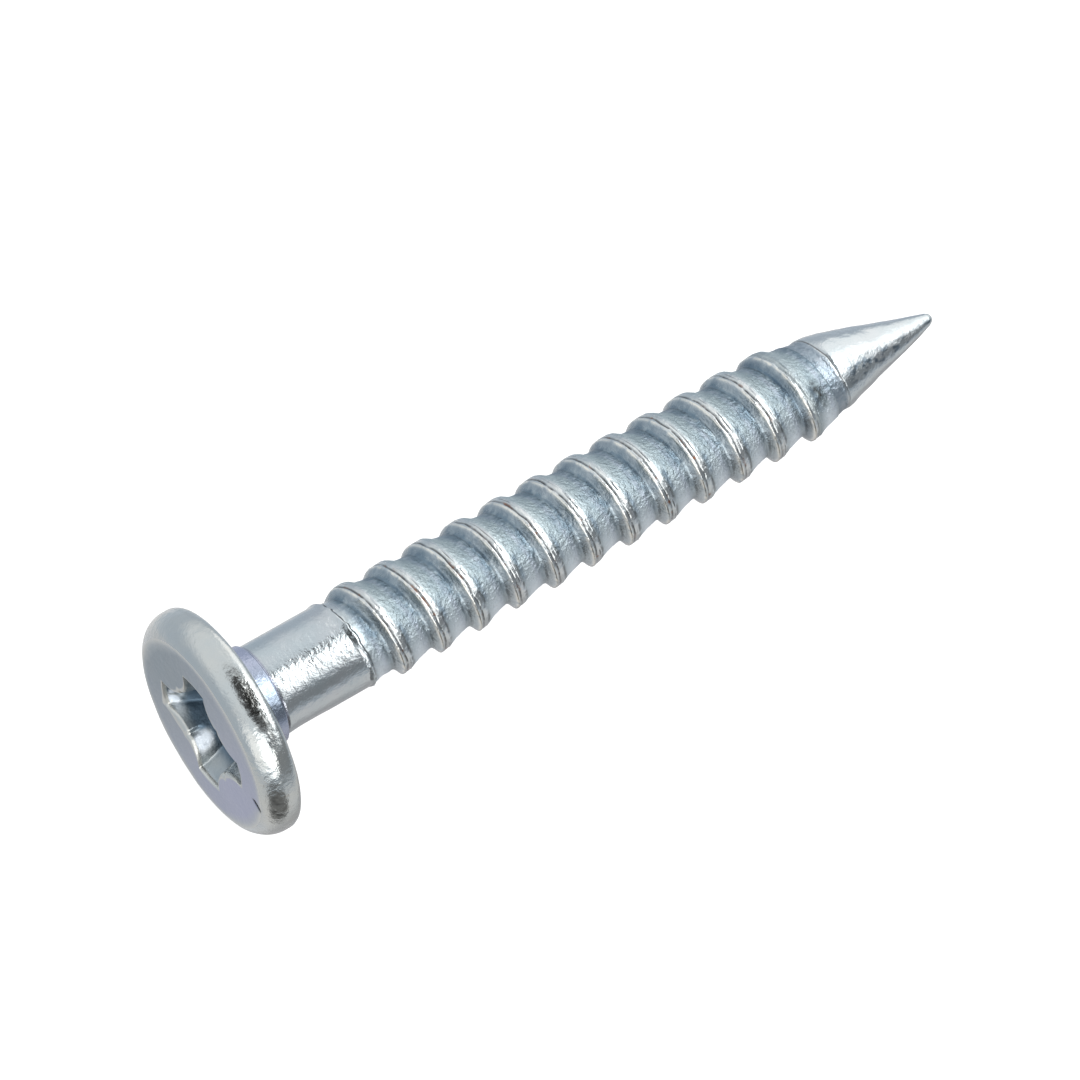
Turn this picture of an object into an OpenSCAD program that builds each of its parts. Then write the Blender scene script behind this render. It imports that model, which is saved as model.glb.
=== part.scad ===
// Drive screw of a hammer-set wall anchor: one steel forging in five sections.
// The axis runs along X, from the head's seat at x = 0 to the tip at x = length.

/* [Head] */
// Diameter of the head at its widest ring
head_d = 11.34; // [10.6:0.02:11.6]
// Height of the head, from its seat to its flat face
head_h = 1.86; // [1.8:0.02:2.4]
// Diameter of the flat face inside the rolled rim
face_d = 9.8; // [9.6:0.1:10]
// Depth of the widest ring below the flat face
rim_h = 1.2; // [1:0.05:1.25]
// Rounding between the widest ring and the seat
back_r = 0.45; // [0.2:0.05:0.45]
// How far the head sits off the shank's axis, along Y
head_shift_y = -0.3; // [-0.3:0.02:0.3]
// How far the head sits off the shank's axis, along Z
head_shift_z = -0.17; // [-0.3:0.01:0.3]

/* [Cross recess] */
// Diameter across the wings at the flat face
recess_d = 6.8; // [6.4:0.1:7]
// Diameter across the wings at the bottom
recess_bottom_d = 2.6; // [2.4:0.1:2.8]
// Depth of the recess from the flat face
recess_depth = 2.6; // [2.4:0.1:2.7]
// Distance from the recess's centre to the nose of each land
land_nose = 2.07; // [1.9:0.01:2.2]
// Radius of each land at the flat face
land_r = 1.96; // [1.8:0.02:2.1]
// Growth of a land's radius from the flat face to the bottom
land_taper = 0.7; // [0.4:0.05:0.9]
// Turn of the wings about the axis, in degrees
recess_turn = -7.5; // [-45:0.5:45]

/* [Neck and shank] */
// Diameter of the fillet under the head, at the seat
fillet_d = 5.8; // [5.5:0.05:6.2]
// Length of that fillet along the axis
fillet_l = 0.3; // [0.2:0.05:0.4]
// Diameter of the neck where it leaves the fillet
neck_d = 5.2; // [5:0.05:5.4]
// Diameter of the neck at its far end
neck_end_d = 4.95; // [4.7:0.05:4.95]
// Distance from the seat to the end of the neck
neck_l = 1.6; // [1.4:0.1:2]
// Length of the chamfer from the neck down to the shank
neck_chamfer = 0.15; // [0.1:0.05:0.3]
// Diameter of the shank
shank_d = 4.5; // [4.3:0.05:4.6]
// Distance from the seat to the end of the shank section
shank_end = 4.9; // [4.5:0.1:5.2]

/* [Thread] */
// Diameter over the crests
crest_d = 5.04; // [4.8:0.02:5.3]
// Diameter at the root line
root_d = 4.1; // [3.8:0.05:4.2]
// Distance between crests
pitch = 2.135; // [2:0.005:2.3]
// Distance from the seat to the start of the first crest, straight below the axis
first_crest = 6.15; // [6:0.01:6.4]
// Distance from the seat to the place where the first groove leaves the shank
groove_start = 5.95; // [5.6:0.05:6.2]
// Distance over which the first groove and crest reach their full size
run_in = 0.8; // [0.5:0.1:1.2]
// Distance over which the last crest fades into the point
run_out = 1.8; // [1.2:0.1:3]
// Distance from the seat to the end of the threaded section
thread_end = 33.5; // [33:0.1:34]

/* [Point] */
// Length of the screw under its head
length = 40; // [39:0.1:42]
// Diameter of the small flat at the tip
tip_d = 0.25; // [0.15:0.05:0.4]

/* [Hidden] */
$fn = 96;
// Cutting tools reach this far past the face that they open
over = 0.5;
head_r = head_d / 2;
face_r = face_d / 2;
rim_w = head_r - face_r;
// Radius of the arc that runs from the flat face's edge to the widest ring
rim_r = (rim_w * rim_w + rim_h * rim_h) / (2 * rim_w);
ring_z = rim_h - head_h;
land_place = land_nose + land_r;
// The cone of the wings carries on past the flat face at the same slope
wing_slope = (recess_d - recess_bottom_d) / 2 / recess_depth;
land_slope = land_taper / recess_depth;
// Angular steps in a turn of thread
steps = 30;
// The thread's saw-tooth from one crest to the next: how far along the pitch, and how high
tooth_at = [0, 0.12, 0.42, 0.7, 0.8, 0.92];
tooth_high = [1, 0.98, 0.53, 0.1, 0, 0.45];
tooth_points = len(tooth_at);
turns = ceil((thread_end - first_crest) / pitch) + 2;
rows = (turns + 1) * tooth_points;
// Rows nearer to an end of the section than this join the ring at that end
ring_gap = 0.02;
// The crest starts to rise this share of the run-in after the groove starts to sink
crest_lag = 0.5;
// Diameter where the threaded section meets the point
point_base_d = 4.0;
// Shoulders of the point: share of its length, and share of its base diameter
point_at = [0.22, 0.52, 0.965];
point_wide = [0.86, 0.605, 0.155];

module along_x() {
    rotate([0, 90, 0]) children();
}

// The head, neck and recess share one frame, where z is the distance past the seat.
module head_profile() {
    translate([0, -head_h]) square([face_r, head_h]);
    intersection() {
        translate([head_r - rim_r, ring_z]) circle(rim_r);
        translate([0, -head_h]) square([head_r, rim_h]);
    }
    translate([0, ring_z]) square([head_r, -ring_z - back_r]);
    translate([head_r - back_r, -back_r]) circle(back_r);
    translate([0, -back_r]) square([head_r - back_r, back_r]);
}

module land() {
    translate([land_place, 0, -over])
        cylinder(h = recess_depth + 2 * over,
                 r1 = land_r - land_slope * over,
                 r2 = land_r + land_slope * (recess_depth + over));
}

module recess() {
    translate([-head_shift_z, head_shift_y, -head_h]) rotate([0, 0, recess_turn]) {
        difference() {
            translate([0, 0, -over])
                cylinder(h = recess_depth + over,
                         r1 = recess_d / 2 + wing_slope * over,
                         r2 = recess_bottom_d / 2);
            for (quarter = [45:90:315]) {
                rotate([0, 0, quarter]) land();
            }
        }
    }
}

module head() {
    color("#a9aeb8") along_x() difference() {
        union() {
            translate([-head_shift_z, head_shift_y, 0]) rotate_extrude() head_profile();
            cylinder(h = fillet_l, d1 = fillet_d, d2 = neck_d);
        }
        recess();
    }
}

module neck() {
    color("#8d92b4") along_x() difference() {
        union() {
            translate([0, 0, fillet_l])
                cylinder(h = neck_l - neck_chamfer - fillet_l, d1 = neck_d, d2 = neck_end_d);
            translate([0, 0, neck_l - neck_chamfer])
                cylinder(h = neck_chamfer, d1 = neck_end_d, d2 = shank_d);
        }
        recess();
    }
}

module shank() {
    color("#c3cbd1") along_x() translate([0, 0, neck_l])
        cylinder(h = shank_end - neck_l, d = shank_d);
}

// Ease from 0 to 1 as t goes from 0 to 1
function ease(t) = let(c = min(max(t, 0), 1)) c * c * (3 - 2 * c);

// Row of the tooth grid: its distance along the axis before the turn is added, from two turns early
function row_place(row) =
    first_crest + pitch * (floor(row / tooth_points) - 2 + tooth_at[row % tooth_points]);
function place(step, row) = row_place(row) + pitch * step / steps;

// Diameter of the saw-tooth as if it never ended
function full_d(row) = root_d + (crest_d - root_d) * tooth_high[row % tooth_points];
// The groove leaves the shank first, and the crest rises above the shank a little later
function groove_share(z) = ease((z - groove_start) / run_in);
function crest_share(z) = ease((z - groove_start) / run_in - crest_lag);
function crest_limit(z) = shank_d + (crest_d - shank_d) * crest_share(z);
function started_d(z, d) = min(crest_limit(z), shank_d + (d - shank_d) * groove_share(z));
// The tooth sinks into the base of the point at the other end
function ended_d(z, d) = point_base_d + (d - point_base_d) * ease((thread_end - z) / run_out);
function tooth_r(z, row) = ended_d(z, started_d(z, full_d(row))) / 2;

function ring_point(step, z, r) = [r * cos(360 * step / steps), r * sin(360 * step / steps), z];
function grid_point(step, row) = ring_point(step, place(step, row), tooth_r(place(step, row), row));

// Rows that fall outside the section join the ring at that end, and a full turn shifts the row
first_ring = steps * rows;
last_ring = first_ring + steps;
function corner(step, row) =
    step == steps ? corner(0, row + tooth_points)
    : place(step, row) <= shank_end + ring_gap ? first_ring + step
    : place(step, row) >= thread_end - ring_gap ? last_ring + step
    : step * rows + row;
function real_face(a, b, c) = a == b || b == c || c == a ? [] : [[a, b, c]];

module thread_solid() {
    points = concat(
        [for (step = [0:steps - 1]) for (row = [0:rows - 1]) grid_point(step, row)],
        [for (step = [0:steps - 1]) ring_point(step, shank_end, shank_d / 2)],
        [for (step = [0:steps - 1]) ring_point(step, thread_end, point_base_d / 2)]);
    sides = [for (step = [0:steps - 1]) for (row = [0:rows - 2])
        let(a = corner(step, row), b = corner(step + 1, row),
            c = corner(step + 1, row + 1), d = corner(step, row + 1))
        each concat(real_face(a, c, b), real_face(a, d, c))];
    ends = [
        [for (step = [0:steps - 1]) first_ring + step],
        [for (step = [steps - 1:-1:0]) last_ring + step]];
    polyhedron(points = points, faces = concat(sides, ends), convexity = 4);
}

module thread() {
    color("#9fb0be") along_x() thread_solid();
}

module point() {
    span = length - thread_end;
    color("#b4bec6") along_x() rotate_extrude() polygon(concat(
        [[0, thread_end], [point_base_d / 2, thread_end]],
        [for (i = [0:len(point_at) - 1]) [point_wide[i] * point_base_d / 2, thread_end + point_at[i] * span]],
        [[tip_d / 2, length], [0, length]]));
}

head();
neck();
shank();
thread();
point();
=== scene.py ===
import itertools
import math

import bpy
import numpy as np
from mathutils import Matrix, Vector


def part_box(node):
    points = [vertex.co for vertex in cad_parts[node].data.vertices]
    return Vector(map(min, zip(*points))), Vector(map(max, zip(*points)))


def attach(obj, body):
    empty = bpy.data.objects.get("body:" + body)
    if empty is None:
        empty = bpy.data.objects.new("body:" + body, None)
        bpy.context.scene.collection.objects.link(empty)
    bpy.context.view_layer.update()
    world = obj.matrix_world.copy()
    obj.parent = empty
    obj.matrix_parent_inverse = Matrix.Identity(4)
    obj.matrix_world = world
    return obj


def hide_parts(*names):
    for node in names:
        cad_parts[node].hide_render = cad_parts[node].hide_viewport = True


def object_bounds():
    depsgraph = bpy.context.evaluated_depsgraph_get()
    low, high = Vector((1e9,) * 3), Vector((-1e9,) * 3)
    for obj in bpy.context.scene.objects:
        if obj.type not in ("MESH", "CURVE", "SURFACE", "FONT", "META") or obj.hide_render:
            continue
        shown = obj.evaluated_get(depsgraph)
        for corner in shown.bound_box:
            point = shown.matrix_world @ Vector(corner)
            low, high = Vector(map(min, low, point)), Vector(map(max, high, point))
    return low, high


# The visual model of the anchor's drive screw. Lengths are in millimetres until a mesh is made.
# Angles about the screw's axis run from +Y towards +Z.
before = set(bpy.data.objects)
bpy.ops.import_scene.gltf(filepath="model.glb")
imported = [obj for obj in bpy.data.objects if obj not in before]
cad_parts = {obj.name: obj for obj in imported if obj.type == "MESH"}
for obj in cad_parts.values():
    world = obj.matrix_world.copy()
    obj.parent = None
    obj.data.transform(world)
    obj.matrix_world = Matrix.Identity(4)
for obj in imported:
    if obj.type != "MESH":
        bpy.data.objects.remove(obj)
cad_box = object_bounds()

MM = 0.001
TURN = 2 * math.pi


def node_span(node):
    """A node's lowest and highest corner in millimetres."""
    low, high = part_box(node)
    return np.array(low) / MM, np.array(high) / MM


# ---------------------------------------------------------------- sizes
# Ends of the five sections along the axis, and radii, from the frame
head_low, head_high = node_span("head")
shank_low, shank_high = node_span("shank")

FACE_X = head_low[0]
FILLET_X = head_high[0]
NECK_X = node_span("neck")[1][0]
SHANK_X = shank_high[0]
THREAD_X = node_span("thread")[1][0]
TIP_X = node_span("point")[1][0]
HEAD_R = (head_high[1] - head_low[1]) / 2
HEAD_SHIFT = (head_high[1:] + head_low[1:]) / 2
SHANK_R = (shank_high[1] - shank_low[1]) / 2

# Head: the flat face, the rolled rim, the rounding behind it and the fillet to the neck
FACE_R = 4.85
RIM_H = 1.2
BACK_R = 0.45
FILLET_R = 2.9

# Neck: its two ends, the chamfer down to the shank, and how far it sags towards low
NECK_R = 2.6
NECK_END_R = 2.475
NECK_CHAMFER = 0.15
NECK_SAG = 0.07

# Recess: a cone of four wings cut by four round lands, under a rounded lip
RECESS_R = 3.4
RECESS_BOTTOM_R = 1.3
RECESS_DEPTH = 2.6
RECESS_TURN = math.radians(-97.5)
BOTTOM_CONE_H = 0.25
LAND_NOSE = 2.07
LAND_R = 1.96
LAND_TAPER = 0.7
LAND_PLACE = LAND_NOSE + LAND_R
LIP_DEPTH = 0.22

# Thread: its first crest starts straight below the axis, and one crosses +Y at CREST_X
PITCH = 2.135
CREST_R = 2.52
FIRST_CREST = 6.17
CREST_X = FIRST_CREST + PITCH / 4
LAST_CREST_X = 32.3
GROOVE_START = 5.95
RUN_IN = 0.8

# Point
CONE_R = 2.0
TIP_BEND = 0.13
TIP_ROUND = 0.07

# Two directions across the screw: near is up and to the front, low is down and to the front
NEAR_ANGLE = math.radians(121.7)
LOW_ANGLE = NEAR_ANGLE + math.pi / 2
LOW = np.array([math.cos(LOW_ANGLE), math.sin(LOW_ANGLE)])
NEAR = np.array([math.cos(NEAR_ANGLE), math.sin(NEAR_ANGLE)])


# ---------------------------------------------------------------- small tools
NOISE_VALUES = 4096
NOISE_PRIMES = np.array([73856093, 19349663, 83492791])


def ease(t):
    t = np.clip(t, 0, 1)
    return t * t * (3 - 2 * t)


def bump(t, middle, half_width):
    """1 at middle, easing to 0 at half_width on both sides."""
    return ease(1 - np.abs(t - middle) / half_width)


def along(table, t):
    """The value at t between the rows of a table of places and values."""
    return np.interp(t, [row[0] for row in table], [row[1] for row in table])


def noise(points, size, seed):
    """Smooth noise from -1 to 1, with features about size across; each use has its own seed."""
    table = np.random.default_rng(seed).uniform(-1, 1, NOISE_VALUES)
    cell = points / size
    base = np.floor(cell).astype(np.int64)
    part = cell - base
    part = part * part * (3 - 2 * part)
    total = np.zeros(points.shape[:-1])
    for corner in itertools.product((0, 1), repeat=3):
        key = np.bitwise_xor.reduce((base + corner) * NOISE_PRIMES, axis=-1) % NOISE_VALUES
        weight = np.prod(np.where(corner, part, 1 - part), axis=-1)
        total += weight * table[key]
    return total


def layered(points, layers, base=0):
    """A base value plus layers of noise; a layer is its height, size and seed."""
    return sum((height * noise(points, size, seed) for height, size, seed in layers), base)


def ring(x, r, angles, centre=(0, 0)):
    """Points around the axis; x and r are numbers or one value per angle."""
    x = np.broadcast_to(x, angles.shape)
    return np.stack([x, centre[0] + r * np.cos(angles), centre[1] + r * np.sin(angles)], -1)


def facing(angle, side, ahead=0):
    """How squarely a direction faces a side, or a place some degrees past it, from 0 to 1."""
    return np.maximum(0, np.cos(angle - side - math.radians(ahead)))


def stripe(angle, ahead, half_width):
    """1 on a line some degrees past near, easing to 0; half_width is in the cosine."""
    return bump(np.cos(angle - NEAR_ANGLE - math.radians(ahead)), 1, half_width)


# The forging's soft lumps, and finer streaks that stop short of the planes between sections
LUMP_HEIGHT = 0.010
LUMP_SIZE = 1.1
STREAKS = ((0.004, 0.42, 5), (0.0015, 0.15, 6))
STRETCH = np.array([0.6, 1.0, 1.0])
CALM_REACH = 0.4
LEAST_R = 0.05


def lumps(points):
    """Height of the forging's lumps, the same for every piece so that pieces meet."""
    calm = 1.0
    for plane in (NECK_X, SHANK_X, THREAD_X):
        calm = calm * ease(np.abs(points[..., 0] - plane) / CALM_REACH)
    fine = layered(points * STRETCH, STREAKS)
    return LUMP_HEIGHT * noise(points, LUMP_SIZE, 3) + calm * fine


def roughen(points, centre=(0, 0), lean=0.0):
    """Moves points out along the surface by the lumps; lean is the normal's share along X."""
    out = points[..., 1:] - np.array(centre)
    r = np.linalg.norm(out, axis=-1, keepdims=True)
    height = lumps(points)[..., None]
    result = points.copy()
    result[..., :1] += lean * height
    result[..., 1:] += math.sqrt(1 - lean ** 2) * out / np.maximum(r, LEAST_R) * height
    return result


class Faces:
    """Vertices and faces of one closed piece, with a few named values per vertex."""

    def __init__(self):
        self.points = []
        self.faces = []
        self.values = {}
        self.sharp = []
        self.count = 0

    def add_points(self, points, **values):
        points = np.asarray(points, float).reshape(-1, 3)
        start = self.count
        self.points.append(points)
        for name in sorted(set(self.values) | set(values)):
            have = self.values.setdefault(name, [np.zeros(start)] if start else [])
            value = np.broadcast_to(values.get(name, 0.0), (len(points),))
            have.append(np.asarray(value, float))
        self.count += len(points)
        return np.arange(start, self.count)

    def add_rows(self, rows):
        """Adds rings of points; a row is its points and its named values."""
        return [self.add_points(points, **values) for points, values in rows]

    def bridge(self, low, high):
        """Quads between two rings with the same number of points."""
        quads = np.stack([low, np.roll(low, -1), np.roll(high, -1), high], -1)
        self.faces.extend(map(tuple, quads))

    def join(self, rings):
        """Bridges each ring to the next."""
        for low, high in zip(rings, rings[1:]):
            self.bridge(low, high)

    def sharpen(self, ring_ids):
        """Keeps the edges of a ring sharp, where the rest is smooth."""
        self.sharp.append(np.stack([ring_ids, np.roll(ring_ids, -1)], -1))

    def washer(self, low, high):
        """A flat bridge between two rings, with a sharp edge at each."""
        self.bridge(low, high)
        self.sharpen(low)
        self.sharpen(high)

    def cap(self, ring_ids, outwards, flat=True, **values):
        """A fan over a ring, facing +X if outwards and -X if not; a flat one has a sharp edge."""
        points = np.concatenate(self.points)[ring_ids]
        centre = self.add_points([points.mean(axis=0)], **values)[0]
        following = np.roll(ring_ids, -1)
        hub = np.full_like(ring_ids, centre)
        order = [ring_ids, following, hub] if outwards else [ring_ids, hub, following]
        self.faces.extend(map(tuple, np.stack(order, -1)))
        if flat:
            self.sharpen(ring_ids)

    def stack(self, rows):
        """A closed stack of rings with a flat cap at each end."""
        rings = self.add_rows(rows)
        self.join(rings)
        self.cap(rings[0], outwards=False)
        self.cap(rings[-1], outwards=True)

    def sharp_edges(self, mesh):
        """For each edge of the mesh, whether it is kept sharp."""
        ends = np.empty(2 * len(mesh.edges), np.int32)
        mesh.edges.foreach_get("vertices", ends)
        edges = np.sort(ends.reshape(-1, 2).astype(np.int64), axis=1)
        wanted = np.sort(np.concatenate(self.sharp), axis=1)
        return np.isin(edges @ [self.count, 1], wanted @ [self.count, 1])

    def build(self, name, material, node):
        mesh = bpy.data.meshes.new(name)
        points = np.concatenate(self.points) * MM
        mesh.from_pydata(points.tolist(), [], self.faces)
        mesh.polygons.foreach_set("use_smooth", [True] * len(self.faces))
        mesh.edges.foreach_set("use_edge_sharp", self.sharp_edges(mesh))
        for key, parts in self.values.items():
            layer = mesh.attributes.new(key, "FLOAT", "POINT")
            layer.data.foreach_set("value", np.concatenate(parts).astype(np.float32))
        mesh.update()
        piece = bpy.data.objects.new(name, mesh)
        bpy.context.scene.collection.objects.link(piece)
        mesh.materials.append(material)
        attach(piece, "root")
        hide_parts(node)


# ---------------------------------------------------------------- materials
# Tones laid over the plating by the vertex values of the same names, later ones on top; blue, deep
# and lilac also carry painted shade and light, and pale painted highlights and floor light
TONES = {
    "frost": (0.33, 0.39, 0.405),
    "lilac": (0.38, 0.39, 0.51),
    "blue": (0.145, 0.195, 0.235),
    "deep": (0.070, 0.112, 0.155),
    "cream": (0.68, 0.66, 0.60),
    "pale": (0.80, 0.85, 0.90),
}
SPECK_TINT = (0.10, 0.11, 0.12)
SEAM_AND_SHADE_TINT = (0.03, 0.028, 0.025)
RUST_TINT = (0.20, 0.07, 0.025)
# Sizes of the plating's random marks
CLOUD_SIZE = 1.6
SPECK_SIZE = 0.13
RUST_SIZE = 0.5
MOTTLE_SIZE = 0.17
# Parts of a noise's range over which they and the grain's dullness come in
CLOUD_RANGE = (0.35, 0.65)
SPECK_RANGE = (0.62, 0.76)
RUST_RANGE = (0.58, 0.72)
GRAIN_RANGE = (0.3, 0.7)
SPECK_STRENGTH = 0.5
# The orange-peel's wide waves, as multiples of its fine grain
WAVE_SIZE = 3.5
WAVE_HEIGHT = 2.2
# What full frost adds: height of mottle against the orange-peel, and roughness
FROST_MOTTLE = 6.0
FROST_ROUGH = 0.30


class Plating:
    """The nodes of one plated material."""

    def __init__(self, name):
        self.material = bpy.data.materials.new(name)
        self.material.use_nodes = True
        self.nodes = self.material.node_tree.nodes
        self.links = self.material.node_tree.links
        self.place = self.nodes.new("ShaderNodeTexCoord").outputs["Object"]

    def noise(self, size, detail, roughness=0.55):
        node = self.nodes.new("ShaderNodeTexNoise")
        node.inputs["Scale"].default_value = 1 / (size * MM)
        node.inputs["Detail"].default_value = detail
        node.inputs["Roughness"].default_value = roughness
        self.links.new(self.place, node.inputs["Vector"])
        return node.outputs["Fac"]

    def ramp(self, value, low, high, from_low, from_high):
        node = self.nodes.new("ShaderNodeMapRange")
        node.inputs["From Min"].default_value = from_low
        node.inputs["From Max"].default_value = from_high
        node.inputs["To Min"].default_value = low
        node.inputs["To Max"].default_value = high
        self.links.new(value, node.inputs["Value"])
        return node.outputs["Result"]

    def attribute(self, key):
        node = self.nodes.new("ShaderNodeAttribute")
        node.attribute_name = key
        return node.outputs["Fac"]

    def mix(self, factor, a, b):
        node = self.nodes.new("ShaderNodeMix")
        node.data_type = "RGBA"
        self.links.new(factor, node.inputs["Factor"])
        for socket, value in ((node.inputs["A"], a), (node.inputs["B"], b)):
            if isinstance(value, tuple):
                socket.default_value = (*value, 1)
            else:
                self.links.new(value, socket)
        return node.outputs["Result"]

    def math(self, kind, a, b):
        node = self.nodes.new("ShaderNodeMath")
        node.operation = kind
        for socket, value in zip(node.inputs, (a, b)):
            if isinstance(value, (int, float)):
                socket.default_value = value
            else:
                self.links.new(value, socket)
        return node.outputs["Value"]

    def colour(self, tint, warm_tint):
        """Two cloudy tints under the tones, then specks, seams and painted shade, and rust."""
        cloud = self.ramp(self.noise(CLOUD_SIZE, 3), 0, 1, *CLOUD_RANGE)
        colour = self.mix(cloud, tint, warm_tint)
        for key, tone in TONES.items():
            colour = self.mix(self.attribute(key), colour, tone)
        speck = self.ramp(self.noise(SPECK_SIZE, 4, 0.75), 0, SPECK_STRENGTH, *SPECK_RANGE)
        speck = self.math("MULTIPLY", speck, self.math("SUBTRACT", 1.0, self.attribute("deep")))
        colour = self.mix(speck, colour, SPECK_TINT)
        # The seam value darkens real seams and edges, and also carries painted shade and painted dark
        # reflections
        colour = self.mix(self.attribute("seam"), colour, SEAM_AND_SHADE_TINT)
        patch = self.ramp(self.noise(RUST_SIZE, 2), 0, 1, *RUST_RANGE)
        rust = self.math("MULTIPLY", self.attribute("rust"), patch)
        return self.mix(rust, colour, RUST_TINT)

    def relief(self, grain, frost, peel, peel_size):
        """Orange-peel of a height and grain, and the mottle of the frosted parts."""
        wide = self.noise(peel_size * WAVE_SIZE, 2)
        frosted = self.math("MULTIPLY", frost, FROST_MOTTLE)
        mottle = self.math("MULTIPLY", self.noise(MOTTLE_SIZE, 3, 0.6), frosted)
        height = self.math("ADD", grain, self.math("MULTIPLY", wide, WAVE_HEIGHT))
        height = self.math("ADD", height, mottle)
        node = self.nodes.new("ShaderNodeBump")
        node.inputs["Distance"].default_value = peel * MM
        self.links.new(height, node.inputs["Height"])
        return node.outputs["Normal"]


def zinc(name, tint, warm_tint, rough, peel, peel_size, sheen_mix):
    """Blue-white zinc plate: a tinted metal with cloudy tone, fine orange-peel and dark specks.

    tint and warm_tint are the two tones of its cloudy colour; peel is the height of the
    orange-peel in millimetres and peel_size its grain; sheen_mix is how far the grain roughens it.
    """
    plating = Plating(name)
    shader = plating.nodes["Principled BSDF"]
    shader.inputs["Metallic"].default_value = 1.0
    plating.links.new(plating.colour(tint, warm_tint), shader.inputs["Base Color"])
    frost = plating.attribute("frost")
    grain = plating.noise(peel_size, 3, 0.6)
    normal = plating.relief(grain, frost, peel, peel_size)
    plating.links.new(normal, shader.inputs["Normal"])
    matte = plating.math("MULTIPLY", frost, FROST_ROUGH)
    matte = plating.math("ADD", matte, plating.attribute("matte"))
    matte = plating.math("ADD", matte, plating.ramp(grain, 0, sheen_mix, *GRAIN_RANGE))
    plating.links.new(plating.math("ADD", matte, rough), shader.inputs["Roughness"])
    return plating.material


COOL = (0.42, 0.46, 0.475)
WARM = (0.45, 0.47, 0.48)
head_zinc = zinc("head_zinc", (0.42, 0.45, 0.455), (0.46, 0.47, 0.455), 0.10, 0.012, 0.10, 0.08)
neck_zinc = zinc("neck_zinc", (0.34, 0.37, 0.46), (0.40, 0.41, 0.48), 0.2, 0.014, 0.14, 0.1)
shank_zinc = zinc("shank_zinc", COOL, WARM, 0.12, 0.009, 0.08, 0.08)
thread_zinc = zinc("thread_zinc", COOL, WARM, 0.12, 0.013, 0.09, 0.06)
point_zinc = zinc("point_zinc", COOL, WARM, 0.12, 0.012, 0.09, 0.08)


# ---------------------------------------------------------------- recess
COLUMNS = 480
WALL_ROWS = 24
AROUND = np.arange(COLUMNS) * TURN / COLUMNS
# Angle of each column from the middle of its land; the wings are an eighth of a turn away
LAND_OFF = (AROUND - RECESS_TURN) % (TURN / 4) - TURN / 8
NO_LAND = 10.0
WALL_SOFTNESS = 0.05
# A shallow flute down the nose of each land, from the face to this depth
FLUTE_HEIGHT = 0.16
FLUTE_HALF_WIDTH = math.radians(7)
FLUTE_END = 0.9
# Marks painted on the wall as shade, a highlight and glints: direction and half width in degrees,
# depth and half height
SHADE_WEDGE = (353, 6, 0.3, 0.4)
FACET_HIGHLIGHT = (294, 15, 0.55, 0.6)
GLINTS = ((343, 5, 0.35, 0.35), (77, 6, 0.2, 0.3))
TORN_HEIGHT = 0.09
TORN_SIZE = 0.3


def recess_outline(depth):
    """Distance from the recess's centre to its wall at each angle, at a depth below the face."""
    share = depth / RECESS_DEPTH
    wing = RECESS_R + (RECESS_BOTTOM_R - RECESS_R) * share
    land = LAND_R + LAND_TAPER * share
    inside = land ** 2 - (LAND_PLACE * np.sin(LAND_OFF)) ** 2
    nose = LAND_PLACE * np.cos(LAND_OFF) - np.sqrt(np.maximum(inside, 0))
    nose = np.where(inside > 0, nose, NO_LAND)
    r = -WALL_SOFTNESS * np.logaddexp(-nose / WALL_SOFTNESS, -wing / WALL_SOFTNESS)
    flute = FLUTE_HEIGHT * bump(LAND_OFF, 0, FLUTE_HALF_WIDTH)
    return r + flute * ease(depth / 0.3) * ease((FLUTE_END - depth) / 0.4)


def sector(degrees, half_width):
    """1 at a direction about the axis, easing to 0 at half_width degrees on both sides."""
    off = (AROUND - math.radians(degrees) + math.pi) % TURN - math.pi
    return bump(off, 0, math.radians(half_width))


def mark(depth, degrees, half_width, middle, half_height):
    """One mark on the recess's wall, at a depth below the face."""
    return sector(degrees, half_width) * bump(depth, middle, half_height)


def torn_wings():
    """Where the plating is torn, at the ends of two of the recess's wings."""
    return sector(346, 20) + 0.7 * sector(178, 26)


def recess_shading(depth, points):
    """Named values of the recess's wall: painted shade deepening with depth and in a wedge, painted
    highlights on a facet and glints, and torn plating at two wing ends painted bright.
    """
    # Painted shade in the recess, starting nearer the face in one corner
    dark_from = 0.7 - 0.6 * sector(320, 44)
    deep = 0.9 * ease((depth - dark_from) / 0.6)
    glint = sum(mark(depth, *place) for place in GLINTS)
    # Torn plating at two wing ends, painted bright as a highlight
    shreds = np.clip(4 * noise(points, TORN_SIZE, 37), 0, 1)
    flakes = torn_wings() * bump(depth, 0.3, 0.45) * shreds
    painted_highlight = np.clip(2.5 * (mark(depth, *FACET_HIGHLIGHT) + glint) + flakes, 0, 1)
    # Away from the highlights the wall is painted bluer as shade
    return dict(blue=0.35 * (1 - painted_highlight),
                deep=np.maximum(deep * (1 - painted_highlight), 0.9 * mark(depth, *SHADE_WEDGE)),
                pale=painted_highlight, matte=0.22 + 0.2 * painted_highlight)


def recess_rings(depths):
    """Rings of the recess's wall at depths below the face."""
    rows = []
    for depth in depths:
        outline = recess_outline(depth)
        points = ring(FACE_X + depth, outline, AROUND, HEAD_SHIFT)
        torn = torn_wings() * ease((depth - LIP_DEPTH) / 0.12) * ease((1.1 - depth) / 0.4)
        outline = outline + TORN_HEIGHT * torn * noise(points, TORN_SIZE, 38)
        torn_points = ring(FACE_X + depth, outline, AROUND, HEAD_SHIFT)
        rows.append((torn_points, 0.0, recess_shading(depth, points)))
    return rows


# ---------------------------------------------------------------- head
# A small crescent nick in the face: its place towards near and low, its bend and half sizes
NICK_NEAR = 2.12
NICK_LOW = 4.04
NICK_BEND = 0.35
NICK_HALF_WIDTH = 0.17
NICK_HALF_LENGTH = 0.5
NICK_DEPTH = 0.12
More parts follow.
